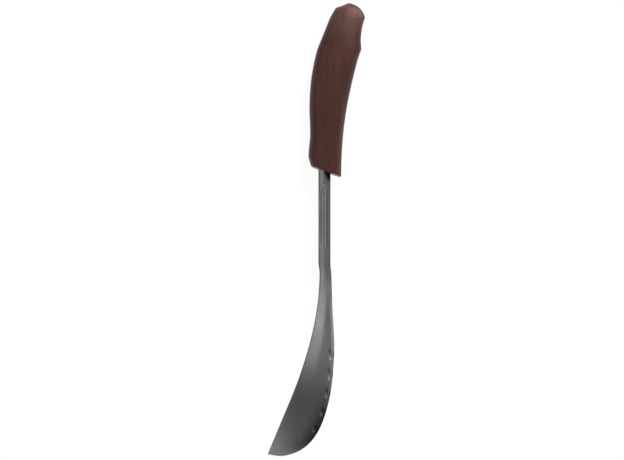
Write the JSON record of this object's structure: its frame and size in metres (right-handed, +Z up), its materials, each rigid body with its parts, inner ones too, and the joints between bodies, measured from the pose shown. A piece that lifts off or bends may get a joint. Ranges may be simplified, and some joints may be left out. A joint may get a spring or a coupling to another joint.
{
  "type": "palette knife",
  "caption": "Palette knife with a curved, one-sided steel leaf, a fluted steel shank and a softly faceted hardwood handle, lying flat.",
  "frame": {"origin": "on the flat back of the handle, where it rests on a table, below the line of the shank's axis", "axes": "+Y up the shank from the leaf towards the handle, +Z up off the table towards the front, +X to the right seen from the front"},
  "size_m": [0.0539, 0.2493, 0.0162],
  "materials": {
    "blade_steel": "satin",
    "shank_steel": "satin",
    "hardwood": "satin",
    "cement": "matte",
    "pin_steel": "satin"
  },
  "bodies": {
    "root": {"blade": "blade_steel", "shank": "shank_steel", "front_scale": "hardwood", "back_scale": "hardwood", "tang_bedding": "cement", "tang_pins": "pin_steel"}
  },
  "joints": []
}
